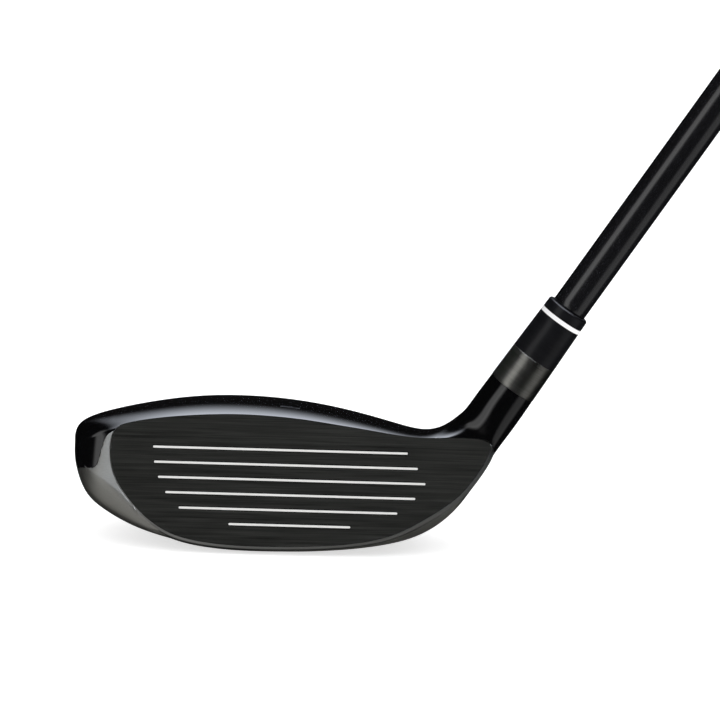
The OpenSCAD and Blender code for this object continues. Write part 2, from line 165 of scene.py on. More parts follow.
BACK_Y = smooth_curve([5.6, 12.5, 21, 29.5, 38, 44.5, 46, 42, 33.5, 24.5, 17, 12.3, 10.2, 9.75, 9.6])
BACK_H = smooth_curve([0.5, 0.48, 0.45, 0.42, 0.4, 0.38, 0.38, 0.38, 0.4, 0.43, 0.46, 0.48, 0.5, 0.5, 0.5])
FACE_LO = steady_curve([
    0.45, 0.42, 0.39, 0.35, 0.17, 0.04, 0.05, 0.05, 0.1, 0.17, 0.155, 0.15, 0.42, 0.5, 0.5])
FACE_HI = steady_curve([
    0.55, 0.62, 0.76, 0.85, 0.905, 0.92, 0.93, 0.935, 0.95, 0.96, 0.895, 0.615, 0.46, 0.5, 0.5])
FRONT_SET = steady_curve([9.1, 6, 2.9, 0.4] + [0] * 11)
NECK_MIX = steady_curve([0] * 11 + [0.1, 0.8, 1, 1])
K_LO, K_HI, K_TOP, K_BACK, K_RING = 4, 9, 15, 25, 34


def face_y(z):
    return z * tan(LOFT) - FACE_FOOT


def skin(t, k, e):
    """The head's skin at slice t and outline place k, moved inwards by e."""
    t, k, e = np.broadcast_arrays(*(np.asarray(v, float) for v in (t, k, e)))
    top, low, m = CROWN_LINE(t), SOLE_LINE(t), NECK_MIX(t)
    ty, ly, by, bh, lo, hi = (c(t) for c in (TOP_Y, LOW_Y, BACK_Y, BACK_H, FACE_LO, FACE_HI))
    rise = top[..., 1] - low[..., 1]
    neck_front = m * (AXIS_Y - NECK_R)
    y_lo = (1 - m) * (face_y(low[..., 1] + lo * rise) + FRONT_SET(t)) + neck_front
    y_hi = (1 - m) * (face_y(low[..., 1] + hi * rise) + FRONT_SET(t)) + neck_front

    def corner(a, b, n):
        """Rise and run of a quarter turn from place a to b. n = 2 is round, more is squarer."""
        angle = pi / 2 * np.clip((k - a) / (b - a), 0, 1)
        return np.clip(np.sin(angle), 0, 1) ** (2 / n), np.clip(np.cos(angle), 0, 1) ** (2 / n)
    s1, c1 = corner(0, K_LO, 3 - m)
    f2 = np.clip((k - K_LO) / (K_HI - K_LO), 0, 1)
    s3, c3 = corner(K_HI, K_TOP, 2)
    s4, c4 = corner(K_TOP, K_BACK, 2.1 - 0.1 * m)
    s5, c5 = corner(K_BACK, K_RING, 2.6 - 0.6 * m)
    where = [k <= K_LO, k <= K_HI, k <= K_TOP, k <= K_BACK]
    y = np.select(where, [ly - (ly - y_lo) * s1, y_lo + (y_hi - y_lo) * f2,
                          ty - (ty - y_hi) * c3, ty + (by - ty) * s4], ly + (by - ly) * c5)
    w = np.select(where, [lo * (1 - c1), lo + (hi - lo) * f2,
                          hi + (1 - hi) * s3, bh + (1 - bh) * c4], bh * (1 - s5))

    def shrink(half):
        """Scale that moves the ends of a half-width in by e."""
        return np.where(half > 2 * e, 1 - e / np.maximum(half, 1e-6), half / np.maximum(4 * e, 1e-6))
    mid_y, half_y = (y_lo + by) / 2, (by - y_lo) / 2
    half_h = np.linalg.norm(top - low, axis=-1) / 2
    y = mid_y + (y - mid_y) * shrink(half_y)
    w = 0.5 + (w - 0.5) * shrink(half_h)
    p = low + (top - low) * w[..., None]
    return np.stack([p[..., 0] + e * (np.maximum(-p[..., 0], 0) / -TOE_X) ** 4, y, p[..., 1]], -1)


def to_face(p):
    """Row millimetres to the face's own frame: along it, up it and out of it."""
    y = p[..., 1] + FACE_FOOT
    return np.stack([p[..., 0], y * sin(LOFT) + p[..., 2] * cos(LOFT),
                     p[..., 2] * sin(LOFT) - y * cos(LOFT)], -1)


def from_face(p):
    return np.stack([p[..., 0], p[..., 1] * sin(LOFT) - p[..., 2] * cos(LOFT) - FACE_FOOT,
                     p[..., 1] * cos(LOFT) + p[..., 2] * sin(LOFT)], -1)


# ---------------------------------------------------------------- meshes
def new_mesh(name, verts, faces, marks=None, crease=38):
    """A mesh from millimetres, smooth but for edges sharper than crease degrees.

    marks are the faces' material numbers.
    """
    mesh = bpy.data.meshes.new(name)
    mesh.from_pydata((np.asarray(verts, float) * MM).tolist(), [], [list(map(int, f)) for f in faces])
    mesh.validate()
    mesh.update()
    mesh.polygons.foreach_set("use_smooth", [True] * len(mesh.polygons))
    if marks is not None:
        mesh.polygons.foreach_set("material_index", [int(m) for m in marks])
    sharpen(mesh, crease)
    return mesh


def sharpen(mesh, crease):
    """Marks edges as sharp past crease degrees, and where two materials meet."""
    normals = np.zeros(len(mesh.polygons) * 3)
    mesh.polygons.foreach_get("normal", normals)
    normals = normals.reshape(-1, 3)
    owner = {}
    sharp = np.zeros(len(mesh.edges), bool)
    loop_edges = np.zeros(len(mesh.loops), int)
    mesh.loops.foreach_get("edge_index", loop_edges)
    limit = cos(radians(crease))
    for poly in mesh.polygons:
        for e in loop_edges[poly.loop_start:poly.loop_start + poly.loop_total]:
            if e in owner:
                other = owner[e]
                sharp[e] = (normals[other] @ normals[poly.index] < limit
                            or mesh.polygons[other].material_index != poly.material_index)
            else:
                owner[e] = poly.index
    attribute = mesh.attributes.get("sharp_edge") or mesh.attributes.new("sharp_edge", "BOOLEAN", "EDGE")
    attribute.data.foreach_set("value", sharp)
    mesh.update()


def add(name, mesh, materials, body, nodes=(), at=ROW):
    """Puts a mesh in the scene as a piece of the club."""
    mesh.transform(at)
    obj = bpy.data.objects.new(name, mesh)
    bpy.context.scene.collection.objects.link(obj)
    for m in materials:
        mesh.materials.append(m)
    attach(obj, body)
    if nodes:
        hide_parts(*nodes)
    return obj


def strip(a, b, closed=True):
    """Quads between two rows of vertex numbers of equal length."""
    n = len(a)
    return [[a[i], a[(i + 1) % n], b[(i + 1) % n], b[i]] for i in range(n if closed else n - 1)]


def revolve(profile, n=128, shape=None, start_axis=False, end_axis=False, closed=False):
    """A turned solid from [r, z] points, with the outside on their right when going up."""
    angle = np.arange(n) * 2 * pi / n
    verts, rows = [], []
    for j, (r, z) in enumerate(profile):
        radius = r + np.zeros(n) if shape is None else shape(j, r, z, angle)
        rows.append(range(len(verts), len(verts) + n))
        verts.extend(np.stack([radius * np.cos(angle), radius * np.sin(angle), z + 0 * angle], 1))
    faces = []
    for a, b in zip(rows, rows[1:]):
        faces += strip(a, b)
    if closed:
        faces += strip(rows[-1], rows[0])
    for wanted, row, z, flip in ((start_axis, rows[0], profile[0][1], True),
                                 (end_axis, rows[-1], profile[-1][1], False)):
        if wanted:
            verts.append([0, 0, z])
            tip = len(verts) - 1
            faces += [[tip, row[(i + 1) % n], row[i]] if flip else [tip, row[i], row[(i + 1) % n]]
                      for i in range(n)]
    return np.array(verts), faces


def grid_faces(rows, cols, base=0, wrap=False):
    out = []
    for i in range(rows - 1):
        for j in range(cols if wrap else cols - 1):
            a, b = base + i * cols + j, base + i * cols + (j + 1) % cols
            out.append([a, b, b + cols, a + cols])
    return out


# ---------------------------------------------------------------- materials
NOISE_LOW, NOISE_HIGH = 0.3, 0.7
PATCH_SHARE = 0.45


def nodes_of(name):
    m = bpy.data.materials.new(name)
    m.use_nodes = True
    tree = m.node_tree
    return m, tree, tree.nodes["Principled BSDF"]


def link(tree, a, b):
    tree.links.new(a, b)


def mapped(tree, scale, turned_to=ROW):
    """Object coordinates in the directions of a placement, times scale."""
    coords = tree.nodes.new("ShaderNodeTexCoord")
    mapping = tree.nodes.new("ShaderNodeMapping")
    mapping.vector_type = "TEXTURE"
    mapping.inputs["Rotation"].default_value = turned_to.to_euler()
    mapping.inputs["Scale"].default_value = [1 / v for v in scale]
    link(tree, coords.outputs["Object"], mapping.inputs["Vector"])
    return mapping.outputs["Vector"]


def noise(tree, vector, detail=3.0):
    n = tree.nodes.new("ShaderNodeTexNoise")
    n.inputs["Scale"].default_value = 1.0
    n.inputs["Detail"].default_value = detail
    n.inputs["Roughness"].default_value = 0.55
    link(tree, vector, n.inputs["Vector"])
    return n.outputs["Fac"]


def ranged(tree, value, low, high):
    """Noise, which lies mostly between NOISE_LOW and NOISE_HIGH, spread from low to high."""
    m = tree.nodes.new("ShaderNodeMapRange")
    m.inputs["From Min"].default_value = NOISE_LOW
    m.inputs["From Max"].default_value = NOISE_HIGH
    m.inputs["To Min"].default_value = low
    m.inputs["To Max"].default_value = high
    link(tree, value, m.inputs["Value"])
    return m.outputs["Result"]


def mixed(tree, factor, a, b):
    """A colour between the colours a and b, by a 0 to 1 value."""
    m = tree.nodes.new("ShaderNodeMix")
    m.data_type = "RGBA"
    link(tree, factor, m.inputs["Factor"])
    m.inputs[6].default_value = (*a, 1)
    m.inputs[7].default_value = (*b, 1)
    return m.outputs[2]


def blended(tree, a, b, share):
    """A value between the values a and b."""
    m = tree.nodes.new("ShaderNodeMix")
    m.inputs["Factor"].default_value = share
    link(tree, a, m.inputs["A"])
    link(tree, b, m.inputs["B"])
    return m.outputs["Result"]


def bump(tree, shader, height, strength, distance):
    b = tree.nodes.new("ShaderNodeBump")
    b.inputs["Strength"].default_value = strength
    b.inputs["Distance"].default_value = distance * MM
    link(tree, height, b.inputs["Height"])
    link(tree, b.outputs["Normal"], shader.inputs["Normal"])


def surface(name, colour, roughness, metallic=0.0, fine=(3000, 3000, 3000), broad=(60, 60, 60), vary=0.12,
            rough_vary=0.06, relief=0.1, depth=0.02, specular=0.5, coat=0.0, coat_rough=0.04, lie=ROW):
    """A finish with fine grain, broad patches, and relief from the same grain."""
    m, tree, shader = nodes_of(name)
    grain = noise(tree, mapped(tree, fine, lie))
    patch = noise(tree, mapped(tree, broad, lie), detail=4.0)
    both = blended(tree, grain, patch, PATCH_SHARE)
    dark = tuple(c * (1 - vary) for c in colour)
    light = tuple(min(1, c * (1 + vary)) for c in colour)
    link(tree, mixed(tree, ranged(tree, both, 0, 1), dark, light), shader.inputs["Base Color"])
    link(tree, ranged(tree, both, max(0.02, roughness - rough_vary), roughness + rough_vary),
         shader.inputs["Roughness"])
    shader.inputs["Metallic"].default_value = metallic
    shader.inputs["Specular IOR Level"].default_value = specular
    shader.inputs["Coat Weight"].default_value = coat
    shader.inputs["Coat Roughness"].default_value = coat_rough
    bump(tree, shader, grain, relief, depth)
    return m


gloss = surface("gloss_black", (0.0015, 0.0015, 0.0018), 0.16, fine=(2600, 2600, 2600),
                broad=(30, 30, 30), vary=0.3, rough_vary=0.02, relief=0.0015, depth=0.004, specular=0.3,
                coat=1.0, coat_rough=0.035)
satin = surface("satin_gunmetal", (0.33, 0.325, 0.30), 0.46, 1.0, fine=(900, 5200, 5200),
                broad=(90, 90, 90), vary=0.12, rough_vary=0.05, relief=0.10, depth=0.012)
edge_satin = surface("edge_gunmetal", (0.24, 0.24, 0.23), 0.36, 1.0, fine=(400, 400, 4000), vary=0.1,
                     relief=0.08, depth=0.01, lie=ON_FACE)
brushed = surface("brushed_face", (0.037, 0.036, 0.031), 0.36, 1.0, fine=(60, 4200, 900),
                  broad=(20, 1500, 60), vary=0.34, rough_vary=0.08, relief=0.16, depth=0.012, lie=ON_FACE)
# Near-black painted shade: it darkens the score grooves' walls, the face plate's top chamfer and the crown
# shell's rim.
painted_shade = surface("painted_shade", (0.006, 0.006, 0.006), 0.8, 0.0, relief=0.1, specular=0.03)
band_metal = surface("brushed_band", (0.25, 0.247, 0.228), 0.32, 1.0, fine=(90, 90, 6500),
                     broad=(60, 60, 900), vary=0.22, rough_vary=0.06, relief=0.14, depth=0.01,
                     lie=ON_SHAFT)
line_white = surface("line_paint", (0.75, 0.75, 0.73), 0.42, fine=(2200, 2200, 2200),
                     broad=(120, 120, 120), vary=0.05, relief=0.12, depth=0.02)
mark_grey = surface("mark_paint", (0.018, 0.019, 0.021), 0.35, fine=(2500, 2500, 2500), vary=0.1,
                    relief=0.05)
ferrule_black = surface("ferrule_black", (0.005, 0.005, 0.006), 0.34, fine=(140, 140, 5200),
                        broad=(50, 50, 300), vary=0.25, rough_vary=0.05, relief=0.05, depth=0.01,
                        specular=0.2, coat=0.15, coat_rough=0.16, lie=ON_SHAFT)
ferrule_white = surface("ferrule_white", (0.86, 0.86, 0.86), 0.30, fine=(300, 300, 4200), vary=0.03,
                        relief=0.04, depth=0.01, lie=ON_SHAFT)
shaft_paint = surface("shaft_paint", (0.005, 0.005, 0.006), 0.25, fine=(1500, 1500, 700),
                      broad=(50, 50, 12), vary=0.3, rough_vary=0.05, relief=0.02, depth=0.01, coat=1.0,
                      coat_rough=0.07, lie=ON_SHAFT)
rubber = surface("grip_rubber", (0.020, 0.020, 0.021), 0.72, fine=(2600, 2600, 2600), broad=(50, 50, 30),
                 vary=0.25, rough_vary=0.08, relief=0.35, depth=0.05, specular=0.35, lie=ON_SHAFT)
steel = surface("turned_steel", (0.42, 0.42, 0.42), 0.30, 1.0, fine=(3000, 3000, 3000), vary=0.12,
                relief=0.08, depth=0.01)
washer_black = surface("washer_rubber", (0.015, 0.015, 0.015), 0.65, fine=(3500, 3500, 3500), vary=0.2,
                       relief=0.2)
tungsten = surface("inner_metal", (0.30, 0.29, 0.27), 0.45, 1.0, fine=(1200, 1200, 1200), vary=0.2,
                   relief=0.2)
brass = surface("brass", (0.60, 0.43, 0.17), 0.35, 1.0, fine=(300, 300, 3000), vary=0.15, relief=0.1)
glue = surface("glue", (0.60, 0.52, 0.28), 0.35, fine=(700, 700, 700), vary=0.15, relief=0.3, coat=0.4)
plug_rubber = surface("plug_rubber", (0.30, 0.18, 0.10), 0.8, fine=(2500, 2500, 2500), vary=0.2, relief=0.4)
tape = surface("tape", (0.62, 0.56, 0.42), 0.85, fine=(1500, 1500, 4000), vary=0.12, relief=0.4)


# ---------------------------------------------------------------- face outline and its chamfer
PER_SPAN = 12
outline = closed_loop(FACE_POINTS, PER_SPAN)
tangent = np.roll(outline, -1, 0) - np.roll(outline, 1, 0)
tangent /= np.linalg.norm(tangent, axis=1)[:, None]
outward = np.stack([-tangent[:, 1], tangent[:, 0]], 1)
span = np.arange(len(outline)) / PER_SPAN
# Share of the full chamfer: none along the top, full along the leading edge and the heel, narrow at the toe
chamfer_full = np.interp(span, [0, 1, 9.3, 10.2, 18.6, 20.2, 22], [0.2, 0, 0, 1, 1, 0.2, 0.2])
chamfer_wide = chamfer_full * np.interp(span, [0, 12.6, 15, 22], [1, 1, 0.5, 0.5])
CHAMFER_IN = 0.12 + 0.16 * chamfer_wide
CHAMFER_OUT = 0.10 + 0.56 * chamfer_wide
CHAMFER_DROP = (0.5 + 0.42 * chamfer_full) * (CHAMFER_IN + CHAMFER_OUT)
UNDER_DROP = np.interp(span, [9.3, 10.5, 13.5], [0, 0.4, 1.9])


CHUNK = 4000


def outline_distance(x, s):
    """Distance outside the face's outline, and the nearest outline point's number."""
    shape = x.shape
    q = np.stack([x.ravel(), s.ravel()], 1)
    near = np.empty(len(q), int)
    for i in range(0, len(q), CHUNK):
        near[i:i + CHUNK] = ((q[i:i + CHUNK, None] - outline[None]) ** 2).sum(-1).argmin(1)
    d = ((q - outline[near]) * outward[near]).sum(1)
    return d.reshape(shape), near.reshape(shape)


# ---------------------------------------------------------------- where the black paint ends
toe_step = np.array([[-60, 23.1], [-57.9, 22.95], [-55, 22.5], [-53.6, 22.35], [-52.7, 22.8], [-52.1, 23.9],
                     [-51.5, 27.0], [-50.7, 29.95], [-49.8, 31.45], [-48.6, 32.2]])
top_edge = outline[PER_SPAN + 2:int(9.4 * PER_SPAN)]
heel_step = np.array([[53.0, 30.2], [54, 29.7], [60, 29.5]])
front_limit = np.concatenate([toe_step, top_edge + [0, 0.13], heel_step])

t_fine = np.linspace(0, LAST, 1401)
z_back = skin(t_fine, np.full_like(t_fine, K_BACK), 0.0)[:, 2]
middle = np.arange(3.5, 9.6, 0.5)
limit_back = blur(np.interp(t_fine, [0, 1.35, 2.1, 3.0, *middle, 10.4, 11.1, 11.6, 12.2], [
    18.3, 18.3, 19.0, float(np.interp(3.0, t_fine, z_back)), *np.interp(middle, t_fine, z_back),
    21.0, 24.0, 26.0, 27.5]), 120)
# Outline places that may be bare, from the back edge (negative) under the sole and up the front
bare_k = np.arange(-9.2, 12, 0.02)
p = skin(t_fine[:, None], np.mod(bare_k, K_RING)[None], 0.0)
low = np.where(bare_k < 0, p[..., 2] < limit_back[:, None],
               to_face(p)[..., 1] < np.interp(p[..., 0], front_limit[:, 0], front_limit[:, 1]))
is_open = low.any(1)
open_rows = np.where(is_open)[0]
toe_row, heel_row = open_rows[0], open_rows[-1]
bare_from = bare_k[low.argmax(1)]
bare_to = bare_k[len(bare_k) - 1 - low[:, ::-1].argmax(1)]
for row, rows in ((toe_row, slice(0, toe_row)), (heel_row, slice(heel_row + 1, None))):
    seam = (bare_from[row] + bare_to[row]) / 2
    bare_from[rows] = bare_to[rows] = seam
    is_open[rows] = False
span_rows = slice(toe_row, heel_row + 1)
bare_to[span_rows] = blur(bare_to[span_rows], 3)
bare_from[span_rows] = blur(bare_from[span_rows], 6)


def bare_limits(t):
    """The unpainted stretch of the outline at slice t: from, to."""
    return np.interp(t, t_fine, bare_from), np.interp(t, t_fine, bare_to)


# ---------------------------------------------------------------- casting
# The casting sinks by PAINT_SINK under the shell, over PAINT_FADE outline places.
# The casting and the shell both lie SKIN_GAP inside the head's skin.
PAINT_SINK, PAINT_FADE, SKIN_GAP = 0.32, 0.6, 0.06
RAY_START, NO_HIT, DEEPEST = 20.0, -0.6, -1.2


def spaced(cost, values, count):
    """count values spread evenly over a running cost."""
    total = np.concatenate([[0], np.cumsum(cost)])
    return np.interp(np.linspace(0, total[-1], count), total, values)


run = np.maximum(np.linalg.norm(np.diff(CROWN_LINE(t_fine), axis=0), axis=1),
                 np.linalg.norm(np.diff(SOLE_LINE(t_fine), axis=0), axis=1))
cast_t = spaced(run, t_fine, 360)
cast_k = np.concatenate([np.linspace(a, b, n)[:-1] for a, b, n in (
    (0, K_LO, 17), (K_LO, K_HI, 20), (K_HI, K_TOP, 18), (K_TOP, K_BACK, 34), (K_BACK, K_RING, 38))])
bare_a, bare_b = (v[:, None] for v in bare_limits(cast_t))
inside = np.maximum(step((cast_k - bare_b) / PAINT_FADE)
                    * step((bare_a + K_RING - cast_k) / PAINT_FADE),
                    step((bare_a - cast_k) / PAINT_FADE))
inside[(cast_t < t_fine[toe_row - 1]) | (cast_t > t_fine[heel_row + 1])] = 1
cast = skin(cast_t[:, None], cast_k[None], SKIN_GAP + PAINT_SINK * inside)
bare = skin(cast_t[:, None], cast_k[None], SKIN_GAP)
skin_tree = BVHTree.FromPolygons([Vector(v) for v in bare.reshape(-1, 3)],
                                 grid_faces(*bare.shape[:2], wrap=True))
face_out = Vector((0, -cos(LOFT), sin(LOFT)))
# How deep under the face plane the skin lies along the chamfer's outer edge
reach = []
for q, n, w in zip(outline, outward, CHAMFER_OUT):
    x, y = q + n * w
    hit = skin_tree.ray_cast(Vector(from_face(np.array([x, y, RAY_START]))), -face_out)
    reach.append(RAY_START - hit[3] if hit[0] is not None else NO_HIT)
reach = np.clip(reach, DEEPEST, 0)
for _ in range(3):
    reach = (np.roll(reach, 1) + 2 * reach + np.roll(reach, -1)) / 4
cuts = chamfer_full ** 2
end_depth = -cuts * CHAMFER_DROP + (1 - cuts) * np.minimum(reach - 0.02, -0.12)
f = to_face(cast)
d, near = outline_distance(f[..., 0], f[..., 1])
across = (d + CHAMFER_IN[near]) / (CHAMFER_IN + CHAMFER_OUT)[near]
across = np.clip(across, 0, 1)
under = end_depth[near] * across - 0.08 * (1 - across * (1 - cuts[near])) - 0.95 * step((-d - 0.3) / 0.9)
past = d - CHAMFER_OUT[near]
beyond = end_depth[near] - 0.04 - (UNDER_DROP * chamfer_full)[near] * past + 6 * (1 - chamfer_full[near])
under = np.where(past < 0, under, beyond)
# Under the seam between plate and crown shell the casting lies deeper
seam_share = np.interp(span, [0.6, 1.2, 9.2, 9.8], [0, 1, 1, 0])[near]
seam_floor = end_depth[near] - 0.35 + 3 * np.maximum(past - 0.4, 0) + 8 * (1 - seam_share)
under = np.where(d > -0.3, np.minimum(under, seam_floor), under)
# Only the part near the face plane is pushed in
front = (cast_k[None] < 10) & (f[..., 2] > -3) & (past < 2.5)
f[..., 2] = np.where(front, np.minimum(f[..., 2], under), f[..., 2])
cast = from_face(f)
rows, cols = len(cast_t), len(cast_k)
verts = list(cast.reshape(-1, 3))
faces = grid_faces(rows, cols, wrap=True)
for row, flip in ((0, True), (rows - 1, False)):
    verts.append(cast[row].mean(0))
    tip = len(verts) - 1
    ring = [row * cols + j for j in range(cols)]
    faces += [[tip, ring[(j + 1) % cols], ring[j]] if flip else [tip, ring[j], ring[(j + 1) % cols]]
              for j in range(cols)]
faces = [f[::-1] for f in faces]
casting_mesh = new_mesh("head_casting", verts, faces, crease=50)


def cutter(name, profile, at):
    v, f = revolve(profile, start_axis=True, end_axis=True)
    obj = bpy.data.objects.new(name, new_mesh(name, v, f))
    bpy.context.scene.collection.objects.link(obj)
    obj.matrix_world = at
    return obj


def cut(mesh, cutters, crease):
    """The mesh with turned holes cut in it."""
    body = bpy.data.objects.new("blank", mesh)
    bpy.context.scene.collection.objects.link(body)
    for c in cutters:
        m = body.modifiers.new(c.name, "BOOLEAN")
        m.operation = "DIFFERENCE"
        m.solver = "EXACT"
        m.object = c
    graph = bpy.context.evaluated_depsgraph_get()
    made = bpy.data.meshes.new_from_object(body.evaluated_get(graph))
    for o in [body, *cutters]:
        bpy.data.objects.remove(o)
    made.polygons.foreach_set("use_smooth", [True] * len(made.polygons))
    sharpen(made, crease)
    return made


HOLE_R = SHANK_R + 0.06
port_hole = [[HOLE_R, -PORT_DEPTH - 6.5], [HOLE_R, -PORT_DEPTH - 0.3], [HOLE_R + 0.3, -PORT_DEPTH],
             [PORT_R, -PORT_DEPTH], [PORT_R, -0.25], [PORT_R + 0.9, 0.5], [PORT_R + 0.9, 4]]
bore_hole = [[BORE_R, BORE_FLOOR], [BORE_R, NECK_END + 4]]
holes = [cutter("port", port_hole, AT_PORT), cutter("bore", bore_hole, ON_SHAFT)]
casting_mesh = cut(casting_mesh, holes, 38)
add("head_casting", casting_mesh, [satin], "club", ["head_body"])

# ---------------------------------------------------------------- black shell over the crown and neck
SHELL_THICK, SHELL_TOE_THICK, RIM = 0.55, 0.12, 0.06
SMOOTH_PASSES, SMOOTH_IN, SMOOTH_OUT = 160, 0.5, -0.51
SHELL_ROWS, N_COLS, FINE_COLS = 266, 176, 700
SEAM_CLEAR, ASLANT = 0.004, 0.92
change = np.abs(np.diff(bare_from)) + np.abs(np.diff(bare_to))
keep = t_fine <= LAST - 0.02
cost = run + 0.35 * np.minimum(change, 1.2)
shell_t = spaced(cost[:keep.sum() - 1], t_fine[keep], SHELL_ROWS)
toe_close, heel_close = t_fine[toe_row - 1], t_fine[heel_row + 1]
for close in (toe_close, heel_close):
    shell_t = shell_t[np.abs(shell_t - close) > SEAM_CLEAR]
shell_t = np.sort(np.concatenate([shell_t, [toe_close, heel_close]]))
ring_row = (shell_t <= toe_close + 1e-9) | (shell_t >= heel_close - 1e-9)
shell_k = np.empty((len(shell_t), N_COLS))
bare_a, bare_b = bare_limits(shell_t)
lim0, lim1 = bare_b, bare_a + K_RING
for i, t in enumerate(shell_t):
    k = np.linspace(lim0[i], lim1[i], FINE_COLS)
    q = skin(t, np.mod(k, K_RING), SKIN_GAP)
    d1 = np.diff(q, axis=0)
    length = np.linalg.norm(d1, axis=1)
    u = d1 / np.maximum(length, 1e-9)[:, None]
    turn = np.where(np.minimum(length[1:], length[:-1]) > 1e-3,
                    np.arccos(np.clip((u[1:] * u[:-1]).sum(1), -1, 1)), 0)
    turn = np.concatenate([turn, turn[-1:]])
    # Columns stand closer where the skin turns
    shell_k[i] = spaced(length / length.sum() + 0.5 * blur(turn, 30) / pi, k, N_COLS)
for _ in range(4):
    shell_k[1:-1] = (shell_k[:-2] + 2 * shell_k[1:-1] + shell_k[2:]) / 4
shell_k[:, 0], shell_k[:, -1] = lim0, lim1
shell = skin(shell_t[:, None], np.mod(shell_k, K_RING), SKIN_GAP)
# Even out the curvature on the broad top, so that reflections run smoothly over it
weight = (step((shell_k - 11) / 3) * step((24.4 - shell_k) / 2.5)
          * step(shell_t / 1.2)[:, None] * step((11 - shell_t) / 1.5)[:, None])[1:-1, 1:-1, None]
for i in range(SMOOTH_PASSES):
    mean = (shell[:-2, 1:-1] + shell[2:, 1:-1] + shell[1:-1, :-2] + shell[1:-1, 2:]) / 4
    pull = (SMOOTH_IN if i % 2 == 0 else SMOOTH_OUT) * weight
    shell[1:-1, 1:-1] += pull * (mean - shell[1:-1, 1:-1])
rows = len(shell_t)
du = np.gradient(shell, axis=0)
dv = np.gradient(shell, axis=1)
normal = np.cross(dv, du)
normal /= np.maximum(np.linalg.norm(normal, axis=-1), 1e-9)[..., None]
centre = shell.mean(1, keepdims=True)
if (normal * (shell - centre)).sum() < 0:
    normal = -normal
# Where the columns run aslant, the skin itself says which way is out
nearest = [skin_tree.find_nearest(Vector(v)) for v in shell.reshape(-1, 3)]
skin_normal = np.array([found[1] for found in nearest]).reshape(shell.shape)
if (normal * skin_normal).sum() < 0:
    skin_normal = -skin_normal
aslant = (normal * skin_normal).sum(-1) < ASLANT
normal[aslant] = skin_normal[aslant]
# Number the corners, with one shared seam where the shell goes all the way round
number = np.arange(rows * N_COLS).reshape(rows, N_COLS)
number[ring_row, -1] = number[ring_row, 0]
shell[ring_row, -1] = shell[ring_row, 0]
normal[ring_row, 0] = normal[ring_row, 0] + normal[ring_row, -1]
normal[ring_row, 0] /= np.linalg.norm(normal[ring_row, 0], axis=-1)[:, None]
normal[ring_row, -1] = normal[ring_row, 0]
thick = (SHELL_TOE_THICK + (SHELL_THICK - SHELL_TOE_THICK) * step(shell_t / 1.4))[:, None, None]
inner = shell - normal * thick
verts = np.concatenate([shell.reshape(-1, 3), inner.reshape(-1, 3)])
total = rows * N_COLS
faces = []
for i in range(rows - 1):
    for j in range(N_COLS - 1):
        q = [number[i, j], number[i, j + 1], number[i + 1, j + 1], number[i + 1, j]]
        faces.append(q)
        faces.append([v + total for v in q[::-1]])
extra = []


def new_row(points):
    base = 2 * total + len(extra)
    extra.extend(points)
    return list(range(base, base + len(points)))


def rim(ids, closed_tangent):
    """Rounds the edge at this loop of corners, and closes it down to the inner skin."""
    at, up = verts[ids], normal.reshape(-1, 3)[ids]
    along = np.roll(at, -1, 0) - np.roll(at, 1, 0)
    along /= np.maximum(np.linalg.norm(along, axis=1), 1e-9)[:, None]
    out = np.cross(along, up) * closed_tangent
    out /= np.maximum(np.linalg.norm(out, axis=1), 1e-9)[:, None]
    last = list(ids)
    made = []
    for angle in (30, 60, 90):
        a = radians(angle)
        now = new_row(at + out * RIM * sin(a) - up * RIM * (1 - cos(a)))
        made += strip(last, now)
        last = now
    low = thick.repeat(N_COLS, 1).reshape(-1)[ids][:, None]
    now = new_row(at + out * RIM - up * np.maximum(low, RIM))
    made += strip(last, now)
    made += strip(now, [i + total for i in ids])
    return made


opened = np.where(~ring_row)[0]
a, b = opened[0], opened[-1]
loop = [number[a - 1, 0]] + [number[i, 0] for i in range(a, b + 1)] + [number[b + 1, 0]] \
    + [number[i, N_COLS - 1] for i in range(b, a - 1, -1)]
rim_start = len(faces)
faces += [q[::-1] for q in rim(np.array(loop), 1)]
end_loop = np.array([number[rows - 1, j] for j in range(N_COLS - 1)])
faces += [q[::-1] for q in rim(end_loop, -1)]
rim_end = len(faces)
# Rings close the toe's end, outside and inside
for base in (0, total):
    ring = [base + number[0, j] for j in range(N_COLS - 1)]
    last = ring
    mid = verts[ring].mean(0)
    for share in (0.75, 0.5, 0.25):
        now = new_row(mid + (verts[ring] - mid) * share - [0.02, 0, 0])
        q = strip(now, last)
        faces += q if base == 0 else [x[::-1] for x in q]
        last = now
    tip = new_row([mid - [0.02, 0, 0]])[0]
    q = [[tip, last[(j + 1) % len(last)], last[j]] for j in range(len(last))]
    faces += [x[::-1] for x in q] if base == 0 else q
verts = np.concatenate([verts, np.array(extra)])
used = np.unique(np.concatenate([np.array(q) for q in faces]))
remap = np.full(len(verts), -1)
remap[used] = np.arange(len(used))
faces = [[remap[v] for v in dict.fromkeys(q)] for q in faces]
# The rim's faces take the near-black second material, a painted shade along the shell's edge.
marks = [int(rim_start <= i < rim_end) for i, q in enumerate(faces) if len(q) > 2]
faces = [q for q in faces if len(q) > 2]
shell_mesh = new_mesh("crown_shell", verts[used], faces, marks, crease=24)
add("crown_shell", shell_mesh, [gloss, painted_shade], "club", ["crown"])
shell_tree = BVHTree.FromPolygons([Vector(v) for v in shell.reshape(-1, 3)], grid_faces(rows, N_COLS))

# ---------------------------------------------------------------- face plate
PLATE_BACK = -1.5
GROOVE_MOUTH, GROOVE_FALL, GROOVE_LIP = 0.1, 0.14, 0.1


def stadium(ends, y, r, n=12):
    """A slot's outline, anticlockwise."""
    a = np.linspace(-pi / 2, pi / 2, n + 1)
    right = np.stack([ends[1] + r * np.cos(a), y + r * np.sin(a)], 1)
    left = np.stack([ends[0] - r * np.cos(a), y - r * np.sin(a)], 1)
    return np.concatenate([right, left])


plate_v, plate_f, plate_m = [], [], []


